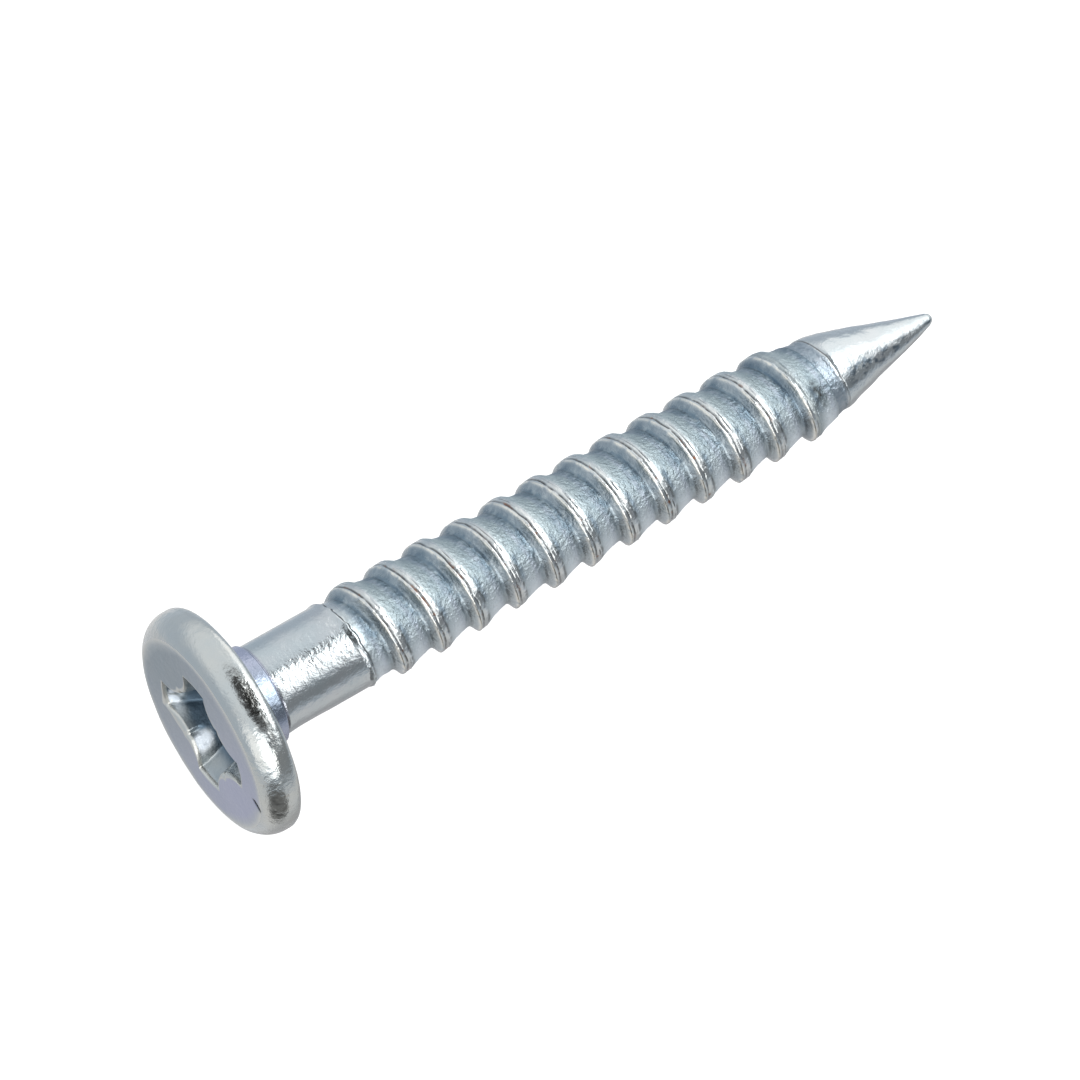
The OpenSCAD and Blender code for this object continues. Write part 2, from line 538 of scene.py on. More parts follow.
# Patches of painted shade on the rim, also sunk a little: strength, then the middle and half width
# past near and in tilt
RIM_SHADE_PATCHES = ((1.9, 0, 25, 0, 28), (0.8, 56, 18, 30, 22))
RIM_SHADE_GRAIN = ((1.1, 0.3, 31), (0.9, 0.12, 32))
RIM_SHADE_DEPTH = 0.02
# The lip's width, and how much wider it is over the lands and in one corner
LIP_WIDTH = 0.08
LIP_OVER_LANDS = 0.14
LIP_IN_CORNER = 0.36
LIP_FINISH = dict(cream=0.5, blue=0.15, matte=0.26)
# Rings along each stretch of the head, from the lip to the fillet
LIP_ROWS = 9
FACE_ROWS = 25
RIM_ROWS = 33
BACK_ROWS = 13
SEAT_ROWS = 12
FILLET_ROWS = 8


def nick(points):
    """How deep the nick is at points of the face, from 0 to 1."""
    across = (points[..., 1:] - HEAD_SHIFT) @ NEAR - NICK_NEAR
    lengthways = (points[..., 1:] - HEAD_SHIFT) @ LOW - NICK_LOW
    bend = NICK_BEND * lengthways ** 2
    return bump(across + bend, 0, NICK_HALF_WIDTH) * bump(lengthways, 0, NICK_HALF_LENGTH)


def rim_painted_shade(points, tilt):
    """Darkness of the painted shade on the rim, a dark reflection painted in, at a tilt from the
    widest ring.
    """
    turn = AROUND - NEAR_ANGLE
    turn = (turn + math.pi) % TURN - math.pi
    total = 0
    for strength, *degrees in RIM_SHADE_PATCHES:
        middle, half_width, height, half_height = map(math.radians, degrees)
        total = total + strength * (bump(turn, middle, half_width) * bump(tilt, height, half_height))
    return np.clip(total * layered(points, RIM_SHADE_GRAIN, 0.35), 0, 1)


def lip_rows(outline, width):
    """The rounded lip, from the recess's wall to the face."""
    rows = []
    for t in np.linspace(0, math.pi / 2, LIP_ROWS)[1:]:
        r = outline + width * (1 - math.cos(t))
        x = FACE_X + LIP_DEPTH * (1 - math.sin(t))
        rows.append((ring(x, r, AROUND, HEAD_SHIFT), -math.sin(t), LIP_FINISH))
    return rows


def face_rows(edge):
    """The flat face, from the lip to the rim, painted lilac and lighter towards low and bluer and
    darker away from it; its tones fade at the rim.
    """
    rows = []
    low_side = 0.5 + 0.5 * np.cos(AROUND - LOW_ANGLE)
    for f in np.linspace(0, 1, FACE_ROWS)[1:]:
        points = ring(FACE_X, edge + (FACE_R - edge) * f, AROUND, HEAD_SHIFT)
        cut = nick(points)
        points[:, 0] += NICK_DEPTH * cut
        inner = min(1, 4 * (1 - f))
        # Painted light towards low and painted shade away from it
        finish = dict(lilac=0.9 * low_side * inner, blue=(0.08 + 0.6 * (1 - low_side)) * inner,
                      matte=0.2, seam=ease(cut * 3), cream=0.5 * max(0, f - 0.9) / 0.1)
        rows.append((points, -1.0, finish))
    return rows


def rim_rows():
    """The rolled rim, from the face to the widest ring."""
    rim_w = HEAD_R - FACE_R
    rim_r = (rim_w ** 2 + RIM_H ** 2) / (2 * rim_w)
    start = math.acos((rim_r - rim_w) / rim_r)
    rows = []
    for t in np.linspace(start, 0, RIM_ROWS)[1:]:
        r = HEAD_R - rim_r + rim_r * math.cos(t)
        x = FACE_X + RIM_H - rim_r * math.sin(t)
        points = ring(x, r, AROUND, HEAD_SHIFT)
        # Painted shade: the rim is sunk a little here and painted dark, as a dark reflection
        dark = rim_painted_shade(points, t)
        points[:, 1:] *= (1 - RIM_SHADE_DEPTH * dark / HEAD_R)[:, None]
        rows.append((points, -math.sin(t), dict(cream=0.12, seam=0.75 * dark)))
    return rows


def back_rows():
    """The rounding behind the rim, the flat seat and the fillet to the neck."""
    rows = []
    for t in np.linspace(0, math.pi / 2, BACK_ROWS):
        r = HEAD_R - BACK_R + BACK_R * math.cos(t)
        x = -BACK_R + BACK_R * math.sin(t)
        rows.append((ring(x, r, AROUND, HEAD_SHIFT), math.sin(t), dict(matte=0.02)))
    for f in np.linspace(0, 1, SEAT_ROWS)[1:]:
        r = HEAD_R - BACK_R + (FILLET_R - HEAD_R + BACK_R) * f
        rows.append((ring(0, r, AROUND, HEAD_SHIFT * (1 - f)), 1.0, dict(matte=0.1)))
    for t in np.linspace(0, math.pi / 2, FILLET_ROWS)[1:]:
        r = FILLET_R + (NECK_R - FILLET_R) * math.sin(t)
        x = FILLET_X * (1 - math.cos(t))
        rows.append((ring(x, r, AROUND), math.cos(t), dict(lilac=0.5 * math.sin(t), matte=0.1)))
    return rows


def head_rows():
    """Rings from the section plane in the recess, over the face and rim, to the fillet.

    A row is its points, the share of its normal along X, and its named values.
    """
    outline = recess_outline(LIP_DEPTH)
    width = LIP_WIDTH + LIP_OVER_LANDS * bump(LAND_OFF, 0, math.radians(34))
    width = width + LIP_IN_CORNER * sector(328, 26)
    rows = recess_rings(np.linspace(FILLET_X - FACE_X, LIP_DEPTH, WALL_ROWS))
    return rows + lip_rows(outline, width) + face_rows(outline + width) + rim_rows() + back_rows()


def rough_rows(rows):
    """Rows of the head and recess with the forging's lumps."""
    return [(roughen(points, HEAD_SHIFT, lean), values) for points, lean, values in rows]


def make_head():
    piece = Faces()
    rings = piece.add_rows(rough_rows(head_rows()))
    piece.join(rings)
    piece.washer(rings[-1], rings[0])
    piece.build("head_shell", head_zinc, "head")


# ---------------------------------------------------------------- neck
# Shares of the recess's bottom cone that have a ring, and rings of the other stretches
BOTTOM_RINGS = (0.35, 0.7, 1.0)
DEEP_WALL_ROWS = 6
TAPER_ROWS = 30
CHAMFER_ROWS = 9
# Painted shade at the bottom of the recess, the neck's lilac tone, and painted shade on the neck's
# side facing near
RECESS_BOTTOM_SHADE = 0.9
NECK_LILAC = 0.5
NECK_NEAR_SHADE = 0.75


def neck_inner_rows():
    """The bottom of the recess, painted in shade, and its wall up to the plane where the head takes
    over.
    """
    bottom = recess_outline(RECESS_DEPTH)
    rows = []
    for f in BOTTOM_RINGS:
        x = FACE_X + RECESS_DEPTH + BOTTOM_CONE_H * (1 - f)
        points = ring(x, bottom * f, AROUND, HEAD_SHIFT)
        rows.append((points, 0.0, dict(deep=RECESS_BOTTOM_SHADE)))
    return rows + recess_rings(np.linspace(RECESS_DEPTH, FILLET_X - FACE_X, DEEP_WALL_ROWS)[1:])


def neck_outer_rows():
    """The taper, and the chamfer from it down to the shank."""
    taper_end = NECK_X - NECK_CHAMFER
    # Painted shade on the neck's side facing near, in the blue tone
    blue = NECK_NEAR_SHADE * facing(AROUND, NEAR_ANGLE, 8) ** 3
    rows = []
    for f in np.linspace(0, 1, TAPER_ROWS):
        r = NECK_R + (NECK_END_R - NECK_R) * f
        points = ring(FILLET_X + (taper_end - FILLET_X) * f, r, AROUND, NECK_SAG * f * LOW)
        rows.append((roughen(points), dict(lilac=NECK_LILAC, blue=blue)))
    for f in np.linspace(0, 1, CHAMFER_ROWS)[1:]:
        r = NECK_END_R + (SHANK_R - NECK_END_R) * ease(f)
        points = ring(taper_end + NECK_CHAMFER * f, r, AROUND, NECK_SAG * (1 - f) * LOW)
        rows.append((roughen(points), dict(lilac=NECK_LILAC * (1 - f), blue=blue * (1 - f))))
    return rows


def make_neck():
    piece = Faces()
    inner = piece.add_rows(rough_rows(neck_inner_rows()))
    piece.cap(inner[0], outwards=False, flat=False, deep=RECESS_BOTTOM_SHADE)
    outer = piece.add_rows(neck_outer_rows())
    piece.join(inner)
    piece.join(outer)
    piece.washer(inner[-1], outer[0])
    piece.cap(outer[-1], outwards=True)
    piece.build("neck_collar", neck_zinc, "neck")


# ---------------------------------------------------------------- shank
STEPS = 360
STEP_ANGLES = np.arange(STEPS) * TURN / STEPS
SHANK_ROWS = 84
# Beside the neck the shank swells towards low, and a shorter stretch of it is shaded
HEEL_HEIGHT = 0.05
HEEL_LENGTH = 0.9
SHADED_LENGTH = 0.12


def make_shank():
    rows = []
    for x in np.linspace(NECK_X, SHANK_X, SHANK_ROWS):
        heel = HEEL_HEIGHT * ease((NECK_X + HEEL_LENGTH - x) / HEEL_LENGTH)
        heel = heel * facing(STEP_ANGLES, LOW_ANGLE)
        points = roughen(ring(x, SHANK_R, STEP_ANGLES))
        near_neck = bump(x, NECK_X, SHADED_LENGTH)
        points[:, 1:] *= 1 + (heel * (1 - near_neck) / SHANK_R)[:, None]
        rows.append((points, dict(lilac=0.6 * near_neck, seam=0.35 * near_neck)))
    piece = Faces()
    piece.stack(rows)
    piece.build("shank_barrel", shank_zinc, "shank")


# ---------------------------------------------------------------- ends of the thread
# The first groove leaves the shank, and the thread meets the point, along an edge that moves
# down the axis in a turn from straight below: where it starts, and how far it moves
BURR_START = 5.28
BURR_TRAVEL = 1.4
LAP_START = 32.45
LAP_TRAVEL = 1.62
LAP_LINE = 0.05
# Heights of what rises or falls beside those two edges
BURR_RIDGE = 0.06
BURR_FALL = -0.10
LAP_GROOVE = -0.02
LAP_STEP = 0.03
LAP_HOLLOW = -0.05
# How far below the crests the body is where the last crest ends
ABSENT_DROP = 0.45
# The plain body past the last crest: place along the axis, and radius
TAIL = [(LAST_CREST_X, CREST_R - ABSENT_DROP), (THREAD_X, CONE_R), (THREAD_X + 0.7, 1.88),
        (TIP_X - 0.35, 0.33), (TIP_X - 0.17, 0.22), (TIP_X - TIP_ROUND, 0.06)]
DARK_PATCH_X = 31.95
DARK_PATCH_HALF_LENGTH = 0.7


def turn_share(angle):
    """Share of a turn from straight below the axis."""
    return (angle + TURN / 4) % TURN / TURN


def on_cylinder(x, angle, r=2.0):
    """Points of a plain cylinder, where a noise is read."""
    return np.stack([x, r * np.cos(angle), r * np.sin(angle)], -1)


def burr(x, angle):
    """Height and darkness of the rolled edge where the first groove leaves the shank."""
    share = turn_share(angle)
    past = x - (BURR_START + BURR_TRAVEL * share)
    part = ease((share - 0.06) / 0.16) * ease((0.97 - share) / 0.12)
    past = past + 0.06 * noise(on_cylinder(x, angle), 0.22, 21)
    ridge = BURR_RIDGE * ease((past + 0.3) / 0.3) * ease(1 - past / 0.06)
    fall = BURR_FALL * ease(past / 0.12) * ease((1.1 - past) / 0.7)
    return (ridge + fall) * part, bump(past, 0.05, 0.06) * part


def lap_distance(x, angle):
    """Distance along the axis past the lapped edge where the rolled thread meets the point."""
    edge = LAP_START + LAP_TRAVEL * turn_share(angle)
    return x - edge + 0.05 * noise(on_cylinder(x, angle), 0.45, 22)


def lap(x, angle):
    """Height and darkness of that lapped edge."""
    share = turn_share(angle)
    past = lap_distance(x, angle)
    part = ease((share - 0.2) / 0.1) * ease((0.98 - share) / 0.06)
    groove = LAP_GROOVE * bump(past, 0, LAP_LINE)
    step = LAP_STEP * ease(past / 0.1) * ease(1.3 - past)
    step = step + LAP_HOLLOW * bump(past, -0.3, 0.3)
    weak = 0.35 + 0.65 * ease((0.75 - share) / 0.15)
    return (groove + step) * part, bump(past, 0, LAP_LINE) * part * weak


def lap_dullness(x, angle):
    """Dullness of the plating on the head's side of the lapped edge."""
    return 0.6 * ease(-lap_distance(x, angle) / 0.2)


def tail_dark_patch(x, angle):
    """Darkness of a mottled dark patch between the last crest and the lapped edge, a little past
    near.
    """
    return bump(x, DARK_PATCH_X, DARK_PATCH_HALF_LENGTH) * stripe(angle, 18, 0.09)


def tail_radius(x, angle):
    """Radius of the plain body past the last crest, and darkness of the lapped edge on it."""
    height, line = lap(x, angle)
    return along(TAIL, x) + height, line


# ---------------------------------------------------------------- thread
# One tooth from a crest to the next: share of the pitch, and radius below the crest
TOOTH = [(0.0, 0.0), (0.012, 0.0), (0.04, 0.0), (0.12, 0.010), (0.20, 0.034), (0.225, 0.075),
         (0.3, 0.15), (0.4, 0.23), (0.55, 0.325), (0.7, 0.40), (0.78, 0.435), (0.84, 0.43),
         (0.88, 0.385), (0.92, 0.28), (0.965, 0.15), (0.99, 0.05), (1.0, 0.0)]
# The same on the side away from low, where the land sits further from the head
TOOTH_HIGH = [(0.0, 0.045), (0.08, 0.02), (0.22, 0.0), (0.29, 0.02), (0.35, 0.10), (0.42, 0.20),
              (0.5, 0.27), (0.6, 0.315), (0.7, 0.34), (0.8, 0.35), (0.86, 0.30), (0.92, 0.19),
              (0.97, 0.08), (1.0, 0.045)]
# How blue and dark the surface is made along the same tooth, darkest towards the root, and how
# frosted
BLUE = [(0.0, 0.0), (0.35, 0.08), (0.6, 0.36), (0.7, 0.62), (0.76, 0.92), (0.84, 0.85), (0.88, 0.6),
        (0.95, 0.45), (0.985, 0.2), (1.0, 0.0)]
FROST = [(0.0, 0.0), (0.2, 0.0), (0.25, 0.8), (0.4, 1.0), (0.7, 1.0), (0.84, 0.5), (0.95, 0.2),
         (1.0, 0.0)]
# Places along the tooth: the seam and a fainter one, the land with its half width, and the valley
# with a fold beside it
SEAM_AT = 0.075
FAINT_SEAM_AT = 0.165
CREST_LAND = (0.15, 0.13)
FOLD_AT = 0.80
VALLEY_AT = 0.78
# Depths of the marks on a tooth, and heights of its roughness
CRACK_DEPTH = 0.06
FOLD_DEPTH = 0.02
LOW_LAND_DEPTH = 0.03
PIT_HEIGHT = 0.014
GRIT_HEIGHT = 0.006
# Rows in a tooth, turns of rows before the first whole one, and how near the ends a row joins them
TOOTH_ROWS = 56
EARLY_TURNS = 3
RING_GAP = 0.01
# Where noise is read for the thread, and its layers: height, size and seed
NOISE_R = 2.3
PIT_STRETCH = np.array([1.3, 0.7, 0.7])
SEAM_BREAKS = ((0.5, 0.3, 12), (0.4, 0.1, 23))
RAGGED = ((1, 0.25, 19), (0.6, 0.1, 24))
CLOUDS = ((0.45, 0.35, 26), (0.35, 0.13, 28))


def tooth_shares():
    """Row places along one pitch, closer together at the crest and the root."""
    samples = 4000
    t = np.linspace(0, 1, samples, endpoint=False)
    weight = 1 + 3.0 * bump((t + 0.5) % 1, 0.6, 0.16) + 1.2 * bump(t, 0.85, 0.12)
    travel = np.cumsum(weight)
    travel = (travel - travel[0]) / (travel[-1] + weight[-1] - travel[0])
    return np.interp(np.arange(TOOTH_ROWS) / TOOTH_ROWS, travel, t)


class Tooth:
    """The thread's surface at shares u of the tooth, at x along the axis and angle about it."""

    def __init__(self, u, x, angle):
        self.u, self.x, self.angle = u, x, angle
        self.here = on_cylinder(x, angle, NOISE_R)
        self.lowness = np.cos(angle - LOW_ANGLE)
        self.low_side = np.maximum(0, self.lowness)
        self.high_side = np.maximum(0, -self.lowness)
        self.wander = 0.012 * noise(self.here, 0.5, 11)
        self.crack = self.cracks()
        self.fold = bump(u, FOLD_AT, 0.02) * np.clip(0.5 + noise(self.here, 1.2, 16), 0, 1)
        self.frost = along(FROST, u)
        self.pits = noise(self.here * PIT_STRETCH, 0.16, 13)
        self.grit = noise(self.here, 0.09, 18)
        self.edge = layered(self.here, RAGGED)
        # The crest that a place belongs to, and how far it has grown there or faded out
        crest_of = np.where(u < VALLEY_AT, x - u * PITCH, x + (1 - u) * PITCH)
        self.share = ease((x - GROOVE_START) / RUN_IN)
        self.present = ease((LAST_CREST_X - crest_of) / 0.5)
        self.seamed = ease((LAST_CREST_X - 2.0 - crest_of) / 0.8)

    def cracks(self):
        """The broken seam along each crest, and a fainter one beside it, from 0 to 1."""
        broken = np.clip(layered(self.here, SEAM_BREAKS, 0.85), 0.3, 1)
        seam = bump(self.u, SEAM_AT + 2.2 * self.wander, 0.036) * broken
        seam = seam * (1 - 0.35 * ease(1.5 * self.low_side))
        faint = np.clip(1.2 * noise(self.here, 0.5, 15), 0, 1)
        return np.maximum(seam, bump(self.u, FAINT_SEAM_AT + self.wander, 0.015) * faint)

    def drop(self):
        """Radius below the crest: the saw-tooth, its cracks and its pitted, ragged plating."""
        u, frost, edge = self.u, self.frost, self.edge
        low, high = along(TOOTH, u), along(TOOTH_HIGH, u)
        drop = low + (high - low) * self.high_side ** 1.5
        drop = drop + CRACK_DEPTH * self.crack + FOLD_DEPTH * self.fold
        drop = drop + LOW_LAND_DEPTH * bump(u, *CREST_LAND) * self.low_side ** 2
        drop = drop + PIT_HEIGHT * frost * self.pits + GRIT_HEIGHT * frost * self.grit
        drop = drop + 0.02 * bump(u, 0.2, 0.06) * edge + 0.008 * bump((u + 0.5) % 1, 0.5, 0.04) * edge
        return drop + 0.006 * bump(u, 0.1, 0.1) * noise(self.here, 0.12, 25)

    def surface(self):
        """Radius, and darkness of the edges at both ends of the thread."""
        x = self.x
        drop = self.drop()
        tail, lap_line = tail_radius(x, self.angle)
        full = CREST_R - drop + 0.045 * noise(self.here, 2.4, 14)
        full = tail + (full - tail) * self.present * ease((THREAD_X - x) / 0.4)
        grown = SHANK_R + (CREST_R - SHANK_R) * ease((x - GROOVE_START) / RUN_IN - 0.5)
        r = np.minimum(grown, SHANK_R + (full - SHANK_R) * self.share)
        burr_height, burr_line = burr(x, self.angle)
        return r + burr_height, burr_line + lap_line

    def blue_and_painted_shade(self):
        """How blue and dark the surface is painted: most in the valleys, lighter on the low side,
        darker on the high side and facing near, with a band of painted shadow just past near.
        """
        u, low_side = self.u, self.low_side
        past_near = ease(low_side / 0.2) * (1 - ease((low_side - 0.5) / 0.25))
        blue = along(BLUE, u) * (1 - 0.45 * ease(1.6 * low_side))
        blue = blue + 0.5 * self.high_side ** 3 * bump(u, 0.66, 0.3)
        blue = blue + 0.25 * bump(u, 0.5, 0.35) * facing(self.angle, NEAR_ANGLE) ** 6
        return blue + 0.8 * bump(u, 0.31, 0.12) * past_near

    def seam_and_shadow_lines(self):
        """Darkness of the seam, and a painted shadow along the torn edge of the land on the low side.
        """
        # Painted shadow along the land's torn edge, only on the low side
        torn = bump(self.u, 0.24 + 2 * self.wander, 0.06) * np.clip(0.7 + 1.3 * self.edge, 0, 1)
        torn = torn * ease((self.lowness + 0.1) / 0.5)
        return self.crack + 0.8 * torn

    def finish(self, end_lines):
        """Named values of the surface, with painted light and shade by side; end_lines are the dark
        edges at the thread's ends.
        """
        u, x, angle, here = self.u, self.x, self.angle, self.here
        threaded = self.share * self.present
        plain = (1 - self.seamed) * threaded
        land = bump(u, *CREST_LAND)
        cloudy = layered(here, CLOUDS, 1)
        dull = lap_dullness(x, angle) * (1 - self.present)
        dark_patch = tail_dark_patch(x, angle) * np.clip(0.9 + noise(here, 0.3, 29), 0, 1)
        patch_flecks = dark_patch * np.clip(0.85 + 0.7 * noise(here, 0.1, 39), 0, 1)
        lines = self.seam_and_shadow_lines() * threaded * (0.15 + 0.85 * self.seamed) + end_lines + patch_flecks
        blue = self.blue_and_painted_shade() * threaded + 0.9 * dull + 0.4 * plain * land
        crest = bump((u + 0.5) % 1, 0.495, 0.045) * np.clip(0.8 + self.edge, 0, 1)
        # Painted light from the floor on the low side of the valleys, in the pale tone
        under = facing(angle, LOW_ANGLE, -12) ** 3
        # Painted shade at the root on the side a little short of near, in the deep tone
        short_of_near = ease(self.high_side / 0.2) * (1 - ease((self.high_side - 0.5) / 0.3))
        deep = 0.3 * dark_patch + 0.5 * plain * bump(u, 0.87, 0.12)
        return dict(
            blue=np.clip(cloudy * blue, 0, 1),
            cream=(crest + 0.2 * bump(u, 0.12, 0.1)) * threaded,
            pale=0.75 * under * bump(u, 0.5, 0.45) * threaded * (1 - dark_patch),
            seam=np.clip(lines, 0, 1) * 0.9 + 0.3 * self.fold * threaded,
            rust=bump(u, SEAM_AT, 0.06) * threaded * self.seamed,
            frost=self.frost * threaded + dull + 0.9 * plain * land,
            lilac=0.35 * bump(u, 0.66, 0.12) * threaded + 0.4 * dull,
            deep=deep + 0.5 * bump(u, 0.83, 0.06) * short_of_near * threaded)


def grid_faces(grid):
    """Faces of a grid of vertices; those that have shrunk to an edge or a point are left out."""
    a, b = grid[:-1, :-1].ravel(), grid[1:, :-1].ravel()
    c, d = grid[1:, 1:].ravel(), grid[:-1, 1:].ravel()
    faces = []
    for quad in zip(a, b, c, d):
        face = [p for p, before in zip(quad, (quad[3], *quad[:3])) if p != before]
        if len(set(face)) >= 3:
            faces.append(face)
    return faces


def thread_places():
    """Share of the tooth, place and angle of every grid point; a row follows the crests' spiral."""
    turns = int((THREAD_X - SHANK_X) / PITCH) + 1 + EARLY_TURNS
    u = np.tile(tooth_shares(), turns)
    row_x = CREST_X + PITCH * (np.repeat(np.arange(turns), TOOTH_ROWS) - EARLY_TURNS + u)
    x = row_x[None, :] + PITCH * STEP_ANGLES[:, None] / TURN
    return np.broadcast_to(u, x.shape), x, np.broadcast_to(STEP_ANGLES[:, None], x.shape)


def make_thread():
    piece = Faces()
    u, x, angle = thread_places()
    tooth = Tooth(u, x, angle)
    r, end_lines = tooth.surface()
    finish = {key: value.ravel() for key, value in tooth.finish(end_lines).items()}
    points = roughen(np.stack([x, r * np.cos(angle), r * np.sin(angle)], -1))
    grid = piece.add_points(points, **finish).reshape(x.shape)
    first = piece.add_points(roughen(ring(SHANK_X, SHANK_R, STEP_ANGLES)))
    end_r, end_line = tail_radius(np.full(STEPS, THREAD_X), STEP_ANGLES)
    last = piece.add_points(roughen(ring(THREAD_X, end_r, STEP_ANGLES)), seam=0.9 * end_line)
    # Points past either end join the ring there, and a full turn shifts the rows by one tooth
    grid = np.where(x <= SHANK_X + RING_GAP, first[:, None], grid)
    grid = np.where(x >= THREAD_X - RING_GAP, last[:, None], grid)
    last_row = np.append(grid[0, TOOTH_ROWS:], [last[0]] * TOOTH_ROWS)
    piece.faces.extend(grid_faces(np.vstack([grid, last_row[None]])))
    piece.cap(first, outwards=False)
    piece.cap(last, outwards=True)
    piece.build("thread_spiral", thread_zinc, "thread")


# ---------------------------------------------------------------- point
DENTS = ((0.03, 0.62, 17), (0.011, 0.26, 27), (0.003, 0.11, 34))
# Flecks of a band of painted shade along the point: height, size and seed of each layer
SHADE_FLECKS = ((1.3, 0.3, 35), (1.2, 0.13, 36))
DENT_LEAST_R = 0.3
POINT_ROWS = 150


def point_row(f):
    """A ring of the point and its values, at a share f of its length."""
    x = np.full(STEPS, THREAD_X + (TIP_X - TIP_ROUND - THREAD_X) * f)
    r, line = tail_radius(x, STEP_ANGLES)
    points = roughen(ring(x, r, STEP_ANGLES))
    stretched = points * STRETCH
    dents = layered(stretched, DENTS) * ease(5 * f) * ease(8 * (1 - f))
    points[:, 1:] *= 1 + (dents / np.maximum(r, DENT_LEAST_R))[:, None]
    points[:, 1:] += TIP_BEND * ease(f * 1.4 - 0.15) * LOW
    nub = bump(f, 1.0, 0.06)
    # A band of painted shade, a dark reflection a little past near, broken into flecks
    shade_border = stripe(STEP_ANGLES, 20 + 8 * f, 0.07) * ease(8 * f)
    shade_flecks = np.clip(layered(stretched, SHADE_FLECKS, 0.1), 0, 1)
    dull = lap_dullness(x, STEP_ANGLES)
    return points, dict(seam=0.9 * line, cream=0.4 * nub, matte=0.25 * nub, frost=dull,
                        lilac=0.5 * dull, deep=0.75 * shade_border * shade_flecks, blue=0.9 * dull)


def make_point():
    piece = Faces()
    piece.stack([point_row(f) for f in np.linspace(0, 1, POINT_ROWS)])
    piece.build("point_cone", point_zinc, "point")


make_head()
make_neck()
make_shank()
make_thread()
make_point()


# ---------------------------------------------------------------- floor, light and camera
# Angles are in degrees: turn is an azimuth from -Y towards +X, and rise a height over level
CAMERA_TURN = -35.257
CAMERA_RISE = 52.915
CAMERA_DISTANCE = 255.4
CAMERA_LENS = 187.8
CAMERA_SENSOR = 36
CAMERA_CLIP = 0.01
AIM = Vector((14.922, -3.110, 4.591))
FLOOR_HALF = 2.0
FLOOR_TINT = (0.3, 0.3, 0.3)
FLOOR_GLOW = 0.85

# The lamp: its place, distance in metres, half its angle as seen from the screw, and its level
KEY_TURN = 52
KEY_RISE = 47
KEY_HALF_ANGLE = 18
KEY_DISTANCE = 1.0
KEY_LEVEL = 4.5

# The tent's colours
FLOOR_LIGHT = (0.95, 0.95, 0.95)
BACK_LIGHT = (0.70, 0.78, 0.87)
TOP_LIGHT = (1.15, 1.2, 1.25)
SHADE = (0.36, 0.38, 0.40)
DARK = (0.12, 0.12, 0.12)
FLOOR_SHADE = (0.25, 0.25, 0.25)
# Heights, as sines, over which the light of the back and of the top comes in
BACK_EDGE = (-0.6, -0.42)
TOP_EDGE = (0.1, 0.6)
# A level band: turn, reach to either side, lowest and highest rise, and colour; it fades over
# this much of the sine of the rise, and this many degrees of turn
BAND = (32, 40, -22, 14, SHADE)
BAND_SOFTNESS = 0.09
BAND_FADE = 12
# Round patches of the tent: turn, rise, the radii where it is full and gone, and colour
PATCHES_UNDER_BAND = (
    (112, -66, 20, 38, (0.55, 0.55, 0.56)),
    (-145, -53, 16, 32, (0.80, 0.82, 0.86)),
)
PATCHES = (
    (-28, -48, 20, 30, FLOOR_SHADE),
    (-5, 68, 21, 27, DARK),
    (8, 28, 8, 13, DARK),
    (110, 32, 20, 34, (1.8, 1.8, 1.8)),
    (76, 38, 20, 26, (2.4, 2.4, 2.4)),
    (58, 27, 7, 22, (1.9, 1.9, 1.9)),
    (30, 29, 6, 15, (3.0, 3.0, 3.0)),
    (-55, 0, 14, 24, (1.7, 1.7, 1.7)),
    (-22, 8, 17, 22, (3.4, 3.4, 3.4)),
)


def direction(turn, rise):
    """Unit vector towards a place at a turn and rise in degrees."""
    turn, rise = math.radians(turn), math.radians(rise)
    return Vector((math.sin(turn) * math.cos(rise), -math.cos(turn) * math.cos(rise),
                   math.sin(rise)))


def make_floor():
    """A glowing white floor that the screw's reflections leave out."""
    mesh = bpy.data.meshes.new("floor")
    z = cad_box[0].z
    signs = ((-1, -1), (1, -1), (1, 1), (-1, 1))
    corners = [(x * FLOOR_HALF, y * FLOOR_HALF, z) for x, y in signs]
    mesh.from_pydata(corners, [], [(0, 1, 2, 3)])
    floor = bpy.data.objects.new("floor", mesh)
    bpy.context.scene.collection.objects.link(floor)
    material = bpy.data.materials.new("floor_white")
    material.use_nodes = True
    shader = material.node_tree.nodes["Principled BSDF"]
    shader.inputs["Base Color"].default_value = (*FLOOR_TINT, 1)
    shader.inputs["Roughness"].default_value = 0.9
    shader.inputs["Emission Color"].default_value = (1, 1, 1, 1)
    shader.inputs["Emission Strength"].default_value = FLOOR_GLOW
    mesh.materials.append(material)
    floor.visible_glossy = False


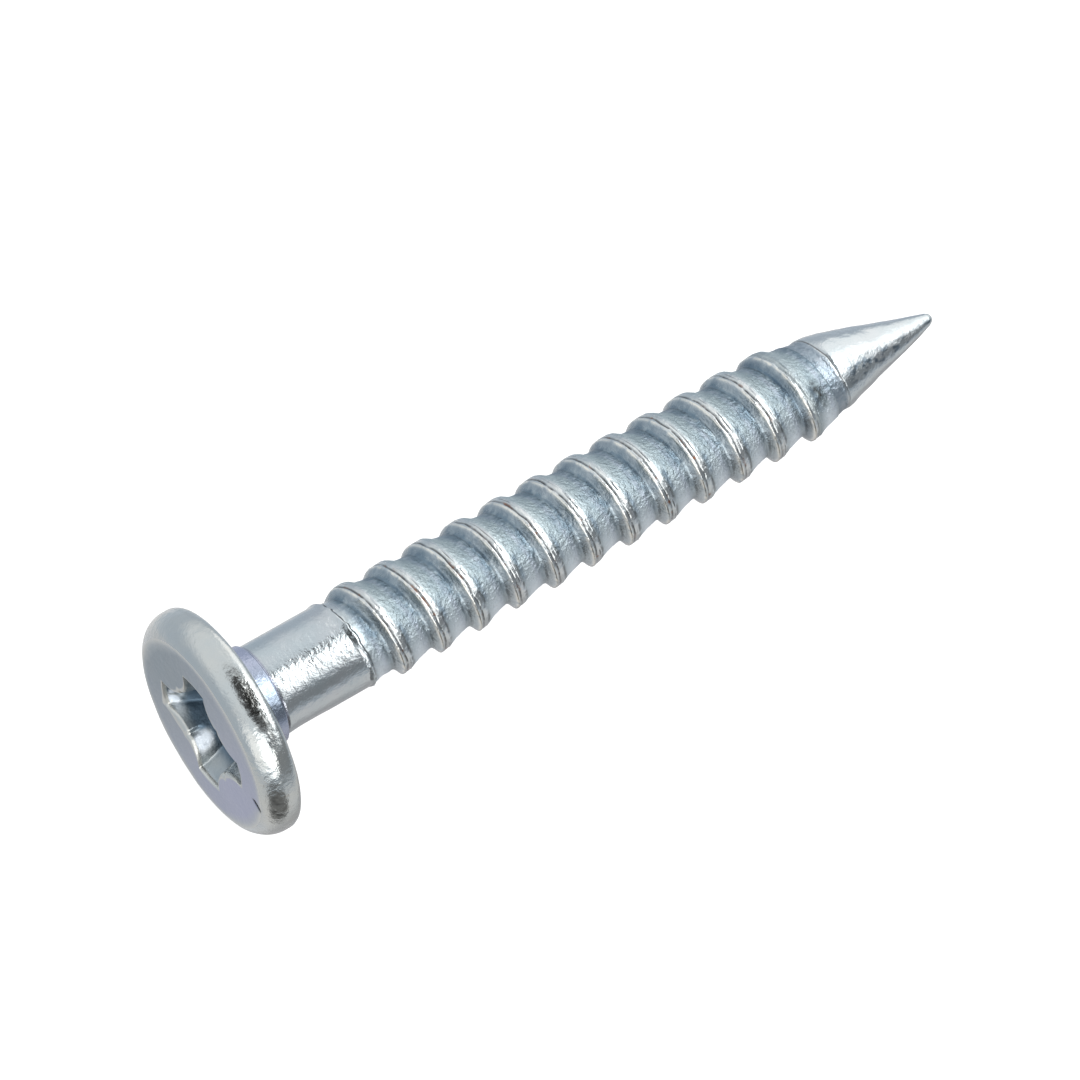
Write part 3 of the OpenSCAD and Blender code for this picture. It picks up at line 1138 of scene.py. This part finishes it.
class Studio:
    """The tent around the screw, painted by direction; later paint covers earlier."""

    def __init__(self):
        world = bpy.data.worlds.new("studio")
        bpy.context.scene.world = world
        world.use_nodes = True
        self.nodes, self.links = world.node_tree.nodes, world.node_tree.links
        self.way = self.nodes.new("ShaderNodeTexCoord").outputs["Generated"]
        self.light = self.nodes["Background"]
        self.colour = None

    def ramp(self, value, low, high):
        """0 below low and 1 above high, eased."""
        node = self.nodes.new("ShaderNodeMapRange")
        node.interpolation_type = "SMOOTHSTEP"
        node.inputs["From Min"].default_value = low
        node.inputs["From Max"].default_value = high
        self.links.new(value, node.inputs["Value"])
        return node.outputs["Result"]

    def towards(self, turn, rise):
        """Cosine of the angle between a direction and the one at turn and rise."""
        node = self.nodes.new("ShaderNodeVectorMath")
        node.operation = "DOT_PRODUCT"
        self.links.new(self.way, node.inputs[0])
        node.inputs[1].default_value = direction(turn, rise)
        return node.outputs["Value"]

    def multiply(self, a, b):
        node = self.nodes.new("ShaderNodeMath")
        node.operation = "MULTIPLY"
        self.links.new(a, node.inputs[0])
        self.links.new(b, node.inputs[1])
        return node.outputs["Value"]

    def paint(self, mask, colour):
        node = self.nodes.new("ShaderNodeMix")
        node.data_type = "RGBA"
        self.links.new(mask, node.inputs["Factor"])
        if self.colour is None:
            node.inputs["A"].default_value = (*FLOOR_LIGHT, 1)
        else:
            self.links.new(self.colour, node.inputs["A"])
        node.inputs["B"].default_value = (*colour, 1)
        self.colour = node.outputs["Result"]

    def round_patch(self, turn, rise, inner, outer, colour):
        """A round patch of light or shade; inner and outer are its radii in degrees."""
        mask = self.ramp(self.towards(turn, rise), math.cos(math.radians(outer)),
                         math.cos(math.radians(inner)))
        self.paint(mask, colour)

    def band(self, turn, reach, low, high, colour):
        """A level band between two heights, reaching as many degrees to either side of turn."""
        height = self.towards(0, 90)
        low, high = math.sin(math.radians(low)), math.sin(math.radians(high))
        above = self.ramp(height, low - BAND_SOFTNESS, low + BAND_SOFTNESS)
        below = self.ramp(height, high + BAND_SOFTNESS, high - BAND_SOFTNESS)
        side = self.ramp(self.towards(turn, 0), math.cos(math.radians(reach + BAND_FADE)),
                         math.cos(math.radians(reach)))
        self.paint(self.multiply(self.multiply(above, below), side), colour)

    def finish(self):
        """The tent lights the screw as painted, and the camera sees it as plain white."""
        self.links.new(self.colour, self.light.inputs["Color"])
        plain = self.nodes.new("ShaderNodeBackground")
        plain.inputs["Color"].default_value = (1, 1, 1, 1)
        seen = self.nodes.new("ShaderNodeMixShader")
        path = self.nodes.new("ShaderNodeLightPath")
        self.links.new(path.outputs["Is Camera Ray"], seen.inputs["Fac"])
        self.links.new(self.light.outputs["Background"], seen.inputs[1])
        self.links.new(plain.outputs["Background"], seen.inputs[2])
        self.links.new(seen.outputs["Shader"], self.nodes["World Output"].inputs["Surface"])


def make_tent():
    studio = Studio()
    studio.paint(studio.ramp(studio.towards(0, 90), *BACK_EDGE), BACK_LIGHT)
    studio.paint(studio.ramp(studio.towards(0, 90), *TOP_EDGE), TOP_LIGHT)
    for patch in PATCHES_UNDER_BAND:
        studio.round_patch(*patch)
    studio.band(*BAND)
    for patch in PATCHES:
        studio.round_patch(*patch)
    studio.finish()


def make_lamp():
    """A round lamp whose power follows from its size, so that its level is a brightness."""
    key = bpy.data.lights.new("key", "AREA")
    key.shape = "DISK"
    key.size = 2 * KEY_DISTANCE * math.tan(math.radians(KEY_HALF_ANGLE))
    key.energy = KEY_LEVEL * math.pi * math.pi * (key.size / 2) ** 2
    lamp = bpy.data.objects.new("key", key)
    away = direction(KEY_TURN, KEY_RISE)
    lamp.location = AIM * MM + away * KEY_DISTANCE
    lamp.rotation_mode = "QUATERNION"
    lamp.rotation_quaternion = away.to_track_quat("Z", "Y")
    bpy.context.scene.collection.objects.link(lamp)


def make_camera():
    camera = bpy.data.cameras.new("camera")
    camera.sensor_width = CAMERA_SENSOR
    camera.lens = CAMERA_LENS
    camera.clip_start = CAMERA_CLIP
    holder = bpy.data.objects.new("camera", camera)
    back = direction(CAMERA_TURN, CAMERA_RISE)
    holder.location = (AIM + back * CAMERA_DISTANCE) * MM
    holder.rotation_mode = "QUATERNION"
    holder.rotation_quaternion = (-back).to_track_quat("-Z", "Y")
    bpy.context.scene.collection.objects.link(holder)
    bpy.context.scene.camera = holder


make_floor()
make_tent()
make_lamp()
make_camera()
bpy.context.scene.view_settings.view_transform = "Standard"
